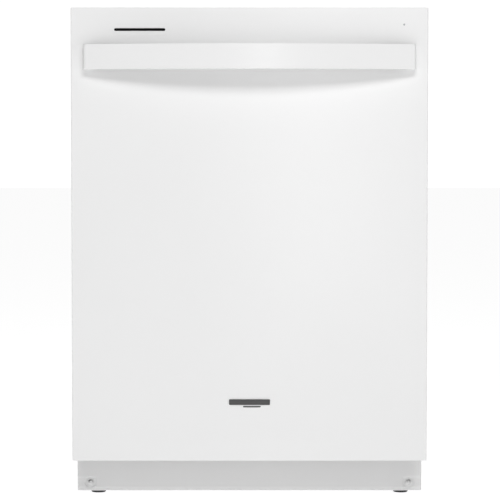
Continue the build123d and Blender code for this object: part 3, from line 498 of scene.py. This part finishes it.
def bow(half, end_y, middle_y, count=72):
    """Points of a shallow arc from +half to -half."""
    sag = end_y - middle_y
    r = (half * half + sag * sag) / (2 * sag)
    centre = middle_y + r
    return [(x, centre - sqrt(r * r - x * x)) for x in spread(half, -half, count)]


outer, inner = bow(HANDLE_HALF, FACE - 17, FACE - 48), bow(FOOT_IN, FACE - 6, FACE - 35)
corner = bent([(HANDLE_HALF, FACE, 0), (HANDLE_HALF, FACE - 17, 0), (*outer[2], 0)], 7, steps=8)
right = [(p.x, p.y) for p in corner]
heel = bent([(-FOOT_IN, FACE, 0), (-FOOT_IN, FACE - 6, 0), (*inner[-3], 0)], 5, steps=5)
left_heel = [(p.x, p.y) for p in heel]
outline = right + outer[3:-3] + [(-x, y) for x, y in right[::-1]] + left_heel + inner[3:-3][::-1] + \
    [(-x, y) for x, y in left_heel[::-1]]
grip = bmesh.new()
slab(grip, outline, "z", HANDLE_LOW, HANDLE_TOP, r=2.0, steps=5)
piece("handle_grip", grip, "white_paint", "door", ("handle",), smooth=50)
print("handle", 2 * HANDLE_HALF, "long,", HANDLE_TOP - HANDLE_LOW, "tall")

# %% [markdown]
# ## Window, lamp and badge
#
# The window is a strip of dark glossy plastic let into the sheet; the lamp beside it is a small lens.
# The badge is a plain dark plate with one slim metal bar below it.

# %% Window, lamp and badge
window = bmesh.new()
slab(window, pill(WINDOW_X, WINDOW_Z, WINDOW_LONG, WINDOW_TALL), "y", FACE + 0.15, FACE + 1.2, r=0.3, steps=3)
piece("window_strip", window, "window_black", "door", ("status_window",))
lens = bmesh.new()
turned(lens, [(0, 0.05), (0.6, 0.12), (1.1, 0.35), (LAMP_R, 0.7), (LAMP_R, 1.2), (0, 1.2)],
       (LAMP_AT[0], FACE, LAMP_AT[1]), "y", 24)
piece("lamp_lens", lens, "grey_plastic", "door")
BADGE_Z = (164.5, 178.5)
badge = bmesh.new()
slab(badge, frame_points(35, (169, BADGE_Z[1]), 1.5), "y", FACE - 1.15, FACE, r=0.45, steps=3)
plain = len(badge.faces)
slab(badge, pill(4, BADGE_Z[0] + 1.4, 30, 2.2), "y", FACE - 0.8, FACE, r=0.3)
for number, face in enumerate(badge.faces):
    face.material_index = int(number >= plain)
piece("badge_plate", badge, "badge_grey", "door", ("badge",), second=accent)
print("window", WINDOW_LONG, "long; badge 70 by 14")

# %% [markdown]
# ## The toe panel and its screws
#
# The toe panel is a long enamelled sheet, hemmed at top and bottom.
# Its lower corners are pressed in a little, and each screw sits in a round dish.

# %% Toe panel
TOE_Y, TOE_HALF, TOE_LOW, TOE_TOP = -200, 301.5, 7, 100
SCREW_X, SCREW_Z = 279, 22
hem = bent([(0, TOE_Y + 9, TOE_LOW), (0, TOE_Y, TOE_LOW), (0, TOE_Y, 60)], 2, steps=4)[:-1]
hem += [Vector((0, TOE_Y, z)) for z in spread(10, 36, 27) + spread(40, 96, 15)]
hem += bent([(0, TOE_Y, 96), (0, TOE_Y, TOE_TOP), (0, TOE_Y + 6, TOE_TOP)], 2, steps=4)[1:]


def pressed(x, point):
    away = abs(x)
    dish = ease((10.5 - sqrt((away - SCREW_X) ** 2 + (point.z - SCREW_Z) ** 2)) / 1.6)
    corner = ease((away - 267.5) / 1.8) * ease((32 - point.z) / 1.8)
    lip = ease((13.5 - point.z) / 2)
    edge = ease((away - (TOE_HALF - 2.2)) / 2.2) ** 2
    return Vector((x, point.y + 0.9 * dish + 0.5 * corner + 0.7 * lip + 1.6 * edge, point.z))


middle = spread(-256, 256, 87)
ends = spread(257, TOE_HALF, 58)
toe = bmesh.new()
sheet(toe, [-x for x in ends[::-1]] + middle + ends, hem, pressed, 1.3)
piece("toe_skin", toe, "white_paint", "root", ("toe_panel",), smooth=60)
print("toe panel", 2 * TOE_HALF, "wide")


# %% Toe panel screws
def cross_screw(bm, at, r, deep, rise, axis="y", sign=1):
    """A domed head with a cross recess, looking towards -axis."""
    head = bmesh.new()
    profile = [(0, -rise), (r * 0.5, -rise * 0.94), (r * 0.82, -rise * 0.7), (r * 0.97, -rise * 0.35), (r, 0),
               (r, deep), (0, deep)]
    turned(head, [(a, b * sign) for a, b in profile], at, axis, 32)
    recess = bmesh.new()
    a, w = r * 0.6, r * 0.13
    plus = [(a, w), (w, w), (w, a), (-w, a), (-w, w), (-a, w),
            (-a, -w), (-w, -w), (-w, -a), (w, -a), (w, -w), (a, -w)]
    along = "xyz".index(axis)
    flat = [value for i, value in enumerate(at) if i != along]
    low, high = sorted((at[along] - sign * (rise + 1), at[along] - sign * (rise - 0.9)))
    slab(recess, [(p + flat[0], q + flat[1]) for p, q in plus], axis, low, high, r=0)
    head = cut(head, recess)
    mesh = bpy.data.meshes.new("head")
    head.to_mesh(mesh)
    head.free()
    bm.from_mesh(mesh)
    bpy.data.meshes.remove(mesh)


toe_screws = bmesh.new()
for side in (-1, 1):
    cross_screw(toe_screws, (side * SCREW_X, TOE_Y - 0.2, SCREW_Z), 4.5, 1.4, 1.5)
piece("toe_screws", toe_screws, "screw_steel", "root", ("toe_panel_screws",))
print("two toe panel screws")

# %% [markdown]
# ## The levelling feet
#
# Each foot is a moulded pad with a hexagon for the spanner and a threaded stud above it.

# %% Feet
thread = [(4.0 if k % 2 else 3.5, 20 + k) for k in range(1, 38)]
pad = [(0, 0), (11.6, 0), (12.6, 0.5), (13, 1.4), (13, 5.4), (12.4, 6.8), (11, 7.8), (8, 8), (6.4, 8.2),
       (6.0, 10), (6.0, 20)] + thread + [(3.2, 58), (0, 58)]
for name, x, y in (("front_left", -267, -166), ("front_right", 267, -166), ("rear_left", -267, 290),
                   ("rear_right", 267, 290)):
    foot = bmesh.new()
    turned(foot, pad, (x, y, 0), "z", 60)
    hexagon = [(x + 7 * cos(radians(60 * k)), y + 7 * sin(radians(60 * k))) for k in range(6)]
    slab(foot, hexagon, "z", 8.1, 19.9, r=0.6)
    for k in range(24):
        turn = radians(15 * k)
        cx, cy = x + 12.1 * cos(turn), y + 12.1 * sin(turn)
        turned(foot, [(0, 1.4), (0.9, 1.6), (0.95, 5.2), (0, 5.6)], (cx, cy, 0), "z", 8)
    piece(f"levelling_{name}", foot, "black_plastic", f"foot_{name}", (f"foot_{name}",))
print("four feet")

# %% [markdown]
# ## Console and keys
#
# The controls hide in the top edge of the door: a black moulded trough with three keys.

# %% Console and keys
eased("console", "black_plastic", "door", 0.8)
KEY_Y, KEY_LONG, KEY_WIDE = -260, 34, 13
for number, x in enumerate((-205, -145, 185), 1):
    key = bmesh.new()
    block(key, (x - KEY_LONG / 2, x + KEY_LONG / 2), (KEY_Y - KEY_WIDE / 2, KEY_Y + KEY_WIDE / 2),
          (840, 844.5), 1.4, 4)
    block(key, (x - 19, x + 19), (KEY_Y - 8.5, KEY_Y + 8.5), (838.5, 841.3), 0.5)
    plain = len(key.faces)
    slab(key, pill(x, KEY_Y, 12, 1.2, 6), "z", 844.4, 844.68, r=0.08)
    for order, face in enumerate(key.faces):
        face.material_index = int(order >= plain)
    piece(f"key_cap_{number}", key, "key_grey", f"key_{number}", (f"key_{number}",),
          second=FINISH["grey_plastic"])
print("console and three keys")

# %% [markdown]
# ## The inner liner of the door
#
# The wet side of the door is drawn from one stainless sheet, its edge turned back and its middle pressed in.
# The dispenser sits in a square opening and the lower corners are notched for the hinges.

# %% Door liner
LINER_Y, LINER_HALF, LINER_Z = -227, 292, (118, 812)
profile = [(0, -262), (0, -235), (0.4, -231.5), (1.6, -229), (3.6, -227.5), (6, LINER_Y), (26, LINER_Y),
           (28, -227.5), (32, -230.5), (34, -231), (60, -231), (62, -230.7), (66, -228.8), (68, -228.5),
           (120, -228.5)]
liner = bmesh.new()
pan(liner, LINER_HALF, LINER_Z, 14, profile, 1.2)
holes = bmesh.new()
block(holes, (9.5, 170.5), (-240, -220), (379.5, 470.5), r=0)
for side in (-1, 1):
    block(holes, (262, 300) if side > 0 else (-300, -262), (-270, -220), (110, 150), r=0)
liner = cut(liner, holes)
piece("liner_sheet", liner, "stainless_tub", "door", ("door_liner",), smooth=35)
print("door liner", 2 * LINER_HALF, "wide")

# %% [markdown]
# ## Seals
#
# The mouth of the tub carries a rubber bead. The strip along the bottom of the door keeps the water in.

# %% Seals
GASKET_HALF, GASKET_TOP, GASKET_LOW, GASKET_R = 280, 799, 152, 43
arch = [(-GASKET_HALF, 0, GASKET_LOW), (-GASKET_HALF, 0, GASKET_TOP), (GASKET_HALF, 0, GASKET_TOP),
        (GASKET_HALF, 0, GASKET_LOW)]
bead = [(-4, -221), (4, -221), (4, -222.6), (3.7, -224.4), (2.8, -225.8), (1.4, -226.5), (-0.2, -226.5),
        (-1.4, -225.7), (-1.8, -224.4), (-2.4, -223.6), (-4, -223.2)]
gasket = bmesh.new()
moulding(gasket, bent(arch, GASKET_R * 1.1, steps=14), bead)
piece("gasket_bead", gasket, "black_rubber", "root", ("tub_gasket",), smooth=50)
strip = bmesh.new()
block(strip, (-258, 258), (-227, -224.5), (122, 130), 0.8, 3)
for z in (123.6, 126.0, 128.4):
    wire(strip, [(-257.5, -222.6, z), (257.5, -222.6, z)], 1.0)
    block(strip, (-257.5, 257.5), (-225, -222.4), (z - 0.4, z + 0.4), 0.2)
piece("bottom_strip", strip, "black_rubber", "door", ("door_bottom_seal",))
print("gasket and bottom strip")

# %% [markdown]
# ## The tub
#
# Sides and roof are one stainless sheet bent over like a hoop; pressed ribs keep it stiff.
# The back is a shallow pan pressed from its own sheet.

# %% Tub
hoop = bent([(-271, 0, 139), (-271, 0, 790), (271, 0, 790), (271, 0, 139)], 34 * 1.1, steps=12)
tub = bmesh.new()
moulding(tub, hoop, [(0, -218), (0.4, -218.8), (1, -219), (1.6, -218.8), (2, -218), (2, 300), (0, 300)])
for side in (-1, 1):
    for z in (236, 330, 400, 640, 716):
        slab(tub, pill(40, z, 420, 22, 10), "x", *sorted((side * 268.8, side * 271.6)), r=2.2, steps=4)
piece("tub_hoop", tub, "stainless_tub", "root", ("tub_wrapper",), smooth=40)
rear = bmesh.new()
stepped = [(0, 300), (0, 300.6), (0.3, 301.3), (1, 301.6), (26, 301.6), (28, 302), (34, 305.4), (36, 305.8),
           (92, 305.8), (94, 306), (99, 308.4), (101, 308.6), (150, 308.6)]
pan(rear, 273, (136, 792), 36, stepped, 1.4, r_low=3)
piece("tub_rear", rear, "stainless_tub", "root", ("tub_back",), smooth=40)
print("tub hoop and back")

# %% [markdown]
# ## Racks
#
# Both racks are welded from drawn wire and dipped in nylon. Long wires run up one side, across the floor
# and down the other; heavier hoops tie them together at the rim, half way down and near the floor.


# %% Basket
def basket(bm, half, y, z, across=15, along=13, r=2.0, bend=16):
    for yy in spread(y[0] + 26, y[1] - 26, across):
        wire(bm, bent([(-half, yy, z[1]), (-half, yy, z[0]), (half, yy, z[0]), (half, yy, z[1])], bend), r)
    for x in spread(-half + 26, half - 26, along):
        low = z[0] + 1.9 * r
        wire(bm, bent([(x, y[0], z[1]), (x, y[0], low), (x, y[1], low), (x, y[1], z[1])], bend), r)
    for level, thick, inset in ((z[1], 2.9, 0), ((z[0] + z[1]) / 2 + 8, 2.1, 3.6), (z[0] + 22, 2.1, 3.6)):
        a, b, c = half - inset, y[0] + inset, y[1] - inset
        hoop_path = bent([(-a, b, level), (a, b, level), (a, c, level), (-a, c, level)], 26, True)
        wire(bm, hoop_path, thick, True, 12)


def tines(bm, y, low, top, count=17, r=1.9):
    wire(bm, [(-208, y, low), (208, y, low)], 2.3)
    for x in spread(-200, 200, count):
        wire(bm, [(x, y, low), (x, y, top - 6), (x, y, top)], r)


AXLE_Z = 156.3
lower = bmesh.new()
basket(lower, 237, (-209, 257), (178.2, 299))
for y in (-70, 135):
    tines(lower, y, 183.5, 274)
for side in (-1, 1):
    for y in (-150, 150):
        block(lower, (241, 244) if side > 0 else (-244, -241), (y - 9, y + 9), (148.5, 186), 1.2)
        wire(lower, [(side * 243, y, AXLE_Z), (side * 259.8, y, AXLE_Z)], 4.0, sides=24)
        turned(lower, [(0, 0), (5.4, 0), (6.5, 0.6), (6.5, 1.5), (5.4, 2), (0, 2)],
               (258 if side > 0 else -260, y, AXLE_Z), "x", 24)
piece("lower_rack_wires", lower, "coated_wire", "lower_rack", ("lower_rack_basket",), smooth=60)
fold = bmesh.new()
tines(fold, 36, 192, 276)
piece("fold_tines", fold, "coated_wire", "folding_tines", ("folding_tines",), smooth=60)
print("lower rack")

# %% Upper rack and cup shelf
ARM_Y = -10
upper = bmesh.new()
basket(upper, 243, (-205, 227), (486.6, 611))
piece("upper_rack_wires", upper, "coated_wire", "upper_rack", ("upper_rack_basket",), smooth=60)
fittings = bmesh.new()
for side in (-1, 1):
    x = (250.5, 258) if side > 0 else (-258, -250.5)
    block(fittings, x, (-200, 225), (475.5, 489.5), 1.6, 3)
block(fittings, (-13, 13), (-25, 262), (458, 470), 4.5, 4)
turned(fittings, [(0, 458), (20, 458), (20, 466), (17, 470), (0, 470)], (0, ARM_Y, 0), "z", 40)
for y in (-4, 184):
    block(fittings, (-6, 6), (y - 4, y + 4), (469, 483.8), 1.5, 3)
turned(fittings, [(0, 434), (12, 434), (14, 435.5), (14, 437.5), (9, 438.5), (9, 458), (0, 458)],
       (0, ARM_Y, 0), "z", 40)
piece("upper_rack_fittings", fittings, "grey_plastic", "upper_rack")
shelf = bmesh.new()
for y in spread(-140, 140, 11):
    wire(shelf, bent([(-234, y, 560), (-156, y, 560), (-150, y, 560)], 3), 1.8)
wire(shelf, [(-234, -160, 560), (-234, 160, 560)], 2.2)
wire(shelf, bent([(-234, -158, 560), (-150, -158, 560), (-150, 158, 560), (-234, 158, 560)], 12), 2.2)
wire(shelf, [(-192, -158, 560), (-192, 158, 560)], 2.0)
piece("shelf_wires", shelf, "coated_wire", "cup_shelf", ("cup_shelf",), smooth=60)
print("upper rack and cup shelf")

# %% [markdown]
# ## Wheels
#
# A moulded wheel has a hub, a thin web and a rounded tread.

# %% Wheels
tread = [(4.06, 0), (7, 0), (7.4, 0.4), (7.4, 3.6), (12.2, 4.2), (12.6, 0.6), (13, 0), (15.6, 0), (16.6, 0.5),
         (17, 1.6), (17, 9.4), (16.6, 10.5), (15.6, 11), (13, 11), (12.6, 10.4), (12.2, 6.8), (7.4, 7.4),
         (7.4, 10.6), (7, 11), (4.06, 11)]
for end, y in (("front", -150), ("rear", 150)):
    wheels = bmesh.new()
    for start in (246, -257):
        turned(wheels, tread, (start, y, AXLE_Z), "x", 56, closed=True)
        for k in range(6):
            turn = radians(60 * k)
            spoke = [(y + a * cos(turn) - b * sin(turn), AXLE_Z + a * sin(turn) + b * cos(turn))
                     for a, b in ((7, -0.8), (12.6, -0.8), (12.6, 0.8), (7, 0.8))]
            slab(wheels, spoke, "x", start + 1.5, start + 9.5, r=0)
    piece(f"{end}_wheel_pair", wheels, "grey_plastic", f"{end}_wheels", (f"{end}_rack_wheels",), smooth=35)
print("four wheels")

# %% [markdown]
# ## Silverware basket
#
# Four cells of moulded lattice: thin upright bars between a deep rim, a belt and a foot.

# %% Silverware basket
(x0, x1), (y0, y1), (low_z, high_z) = (-114, 114), (-202, -126), (184, 294)
silver = bmesh.new()
for z, wall in (((low_z, low_z + 7), 2.2), ((236, 241), 2.0), ((high_z - 12, high_z), 2.4)):
    for low, high, left, right in ((y0, y0 + wall, x0, x1), (y1 - wall, y1, x0, x1)):
        block(silver, (left, right), (low, high), z, 0.6)
    for low, high in ((x0, x0 + wall), (x1 - wall, x1)):
        block(silver, (low, high), (y0 + 0.5, y1 - 0.5), z, 0.6)
for x in spread(x0 + 5, x1 - 5, 27):
    for y in ((y0 + 0.2, y0 + 1.8), (y1 - 1.8, y1 - 0.2)):
        block(silver, (x - 1.5, x + 1.5), y, (188, 286), 0.4)
for y in spread(y0 + 6, y1 - 6, 8):
    for x in ((x0 + 0.2, x0 + 1.8), (x1 - 1.8, x1 - 0.2)):
        block(silver, x, (y - 1.5, y + 1.5), (188, 286), 0.4)
for x in (-57, 0, 57):
    block(silver, (x - 1, x + 1), (y0 + 1, y1 - 1), (186, 292), 0.5)
for x in spread(x0 + 5, x1 - 5, 24):
    block(silver, (x - 1.2, x + 1.2), (y0 + 1, y1 - 1), (184.4, 186.6), 0.3)
for y in spread(y0 + 6, y1 - 6, 8):
    block(silver, (x0 + 1, x1 - 1), (y - 1.2, y + 1.2), (184.2, 186.4), 0.3)
piece("silverware_lattice", silver, "grey_plastic", "lower_rack", ("silverware_basket",), smooth=35)
print("silverware basket")

# %% [markdown]
# ## Washing arms
#
# Each arm is a blade that thins out towards its tips, with a round hub and a row of jets along the top.


# %% Washing arms
def arm(name, body, node, z, bore, hub):
    reach, yc, zc = 198, ARM_Y, (z[0] + z[1]) / 2
    around = 28
    blade = bmesh.new()
    rings = []
    for x in spread(-reach, reach, 67):
        t = abs(x) / reach
        wide = (11 + 12 * (1 - t) ** 1.2) * sqrt(max(1 - t ** 14, 0.02))
        tall = (z[1] - z[0]) / 2 * (1 - 0.35 * t) * sqrt(max(1 - t ** 18, 0.05))
        rings.append([blade.verts.new((x, yc + wide * cos(a),
                                       zc + tall * (abs(sin(a)) ** 0.7) * (1 if sin(a) > 0 else -1)))
                      for a in [2 * pi * k / around for k in range(around)]])
    for low, high in zip(rings, rings[1:]):
        for k in range(around):
            blade.faces.new((low[k], low[k - 1], high[k - 1], high[k]))
    blade.faces.new(rings[0])
    blade.faces.new(rings[-1][::-1])
    drill = bmesh.new()
    turned(drill, [(0, -20), (hub - 1, -20), (hub - 1, 20), (0, 20)], (0, yc, zc), "z", 48)
    blade = cut(blade, drill)
    jets = bmesh.new()
    for x in spread(50, reach - 18, 5):
        for side in (-1, 1):
            slab(jets, [(side * x + a, yc + b) for a, b in pill(0, 0, 8, 2.6, 8)], "z", zc + 1, zc + 12, r=0)
    blade = cut(blade, jets)
    under, over, clear_bore = z[0] - zc, z[1] - zc, bore + 0.06
    ring = [(clear_bore, under), (hub - 2, under), (hub, under + 1.5), (hub, over - 1.5), (hub - 2, over),
            (bore + 3, over), (bore + 2, over - 1), (clear_bore, over - 1)]
    turned(blade, ring, (0, yc, zc), "z", 56, closed=True)
    return piece(name, blade, "grey_plastic", body, (node,), smooth=40)


arm("lower_blade", "lower_spray", "lower_spray_arm", (152.5, 162), 12, 24)
arm("upper_blade", "upper_spray", "upper_spray_arm", (442, 451), 9, 24)
print("two washing arms")

# %% [markdown]
# ## Balance springs
#
# A close-wound spring on each side holds the weight of the door.

# %% Springs
SPRING_Y, SPRING_Z, SPRING_R, SPRING_WIRE = (-148.5, 67), 112 + 40 * sin(radians(45)), 4.1, 0.85
coils = bmesh.new()
turns, per_turn = 84, 12
for side in (-1, 1):
    path = []
    for k in range(turns * per_turn + 1):
        turn = 2 * pi * k / per_turn
        along = SPRING_Y[0] + (SPRING_Y[1] - SPRING_Y[0]) * k / (turns * per_turn)
        path.append(Vector((side * 292 + SPRING_R * cos(turn), along, SPRING_Z + SPRING_R * sin(turn))))
    wire(coils, path, SPRING_WIRE, sides=6)
springs = piece("spring_coils", coils, "screw_steel", None, ("balance_springs",), smooth=60)
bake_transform(springs)
print("two springs of", turns, "turns")

# %% [markdown]
# ## Dispenser
#
# The detergent cup has a sliding lid with a thumb grip, and the rinse aid cap is turned by its bar.

# %% Dispenser
eased("dispenser_body", "grey_plastic", "door", 1.0)
lid = bmesh.new()
LID_X = 53
lid_outline = [(x + LID_X, z) for x, z in frame_points(36, (388, 462), 5, 6)]
slab(lid, lid_outline, "y", -220.7, -218.4, r=0.9, steps=3)
for k in range(5):
    slab(lid, pill(LID_X, 404 + 5 * k, 34, 1.8, 6), "y", -218.6, -218.02, r=0.25)
piece("cup_lid", lid, "grey_plastic", "dispenser_lid", ("dispenser_lid",))
cap = bmesh.new()
turned(cap, [(0, -10), (14.9, -10), (14.9, 6.3), (17.4, 6.4), (18, 7), (18, 7.9), (17.2, 8.5), (0, 8.5)],
       (138, -227, 425), "y", 56)
block(cap, (126, 150), (-219, -216.05), (422.6, 427.4), 1.0, 3)
piece("rinse_knob", cap, "grey_plastic", "rinse_cap", ("rinse_aid_cap",))
print("dispenser")

# %% [markdown]
# ## The parts that keep their plain shape
#
# Brackets, pumps, frame rails and boxes are simple bodies on the real appliance too; their edges are rounded
# so that they catch the light.

# %% Rounded bodies
for node, slot, body, r in (
        ("front_frame", "galvanised_steel", "root", 0.4), ("base_frame", "galvanised_steel", "root", 0.4),
        ("hinge_brackets", "galvanised_steel", "root", 0.5), ("hinge_arms", "galvanised_steel", "door", 0.5),
        ("worktop_brackets", "galvanised_steel", "root", 0.4),
        ("junction_box", "galvanised_steel", "root", 0.5),
        ("latch_strike", "screw_steel", "root", 0.4), ("latch_housing", "grey_plastic", "door", 0.6),
        ("latch_pawl", "screw_steel", "latch", 0.3), ("sump", "grey_plastic", "root", 0.6),
        ("feed_tube", "grey_plastic", "root", 2.0), ("float", "grey_plastic", "float", 0.6),
        ("float_switch", "grey_plastic", "root", 0.8), ("wash_pump", "black_plastic", "root", 2.0),
        ("drain_pump", "black_plastic", "root", 1.5), ("inlet_valve", "black_plastic", "root", 1.0),
        ("drain_outlet", "grey_plastic", "root", 0.8), ("filter_cup", "grey_plastic", "filter", 0.5),
        ("upper_rack_rails", "grey_plastic", "root", 0.4),
        ("upper_rack_slides", "screw_steel", "upper_slides", 1.2),
        ("tub_floor", "stainless_tub", "root", 0.5), ("control_board", "black_plastic", "door", 0.3),
        ("door_screws", "screw_steel", "door", 0.5)):
    eased(node, slot, body, r)
for node, slot in (("insulation_blanket", "felt_blanket"), ("internal_hoses", "black_rubber"),
                   ("heating_element", "screw_steel"), ("spring_links", "screw_steel"),
                   ("door_insulation", "felt_blanket")):
    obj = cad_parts[node]
    obj.data.materials.clear()
    obj.data.materials.append(FINISH[slot])
print("plain bodies dressed")

# %% [markdown]
# ## The floor
#
# A pale floor carries the appliance.

# %% Floor and finish
ground = bmesh.new()
bmesh.ops.create_grid(ground, x_segments=1, y_segments=1, size=30)
floor = as_object("studio_floor", ground, 1)
studio_white = finish("studio_white", grey(0.60), grey(0.59), 0.9, 0.02, grain=2, relief=0.02)
floor_tree = studio_white.node_tree
glow = floor_tree.nodes["Principled BSDF"].inputs
glow["Emission Color"].default_value = (1, 1, 1, 1)
looks, strength = floor_tree.nodes.new("ShaderNodeLightPath"), floor_tree.nodes.new("ShaderNodeMapRange")
strength.inputs["To Min"].default_value, strength.inputs["To Max"].default_value = 0.67, 0.93
floor_tree.links.new(looks.outputs["Is Camera Ray"], strength.inputs["Value"])
floor_tree.links.new(strength.outputs["Result"], glow["Emission Strength"])
floor.data.materials.append(studio_white)
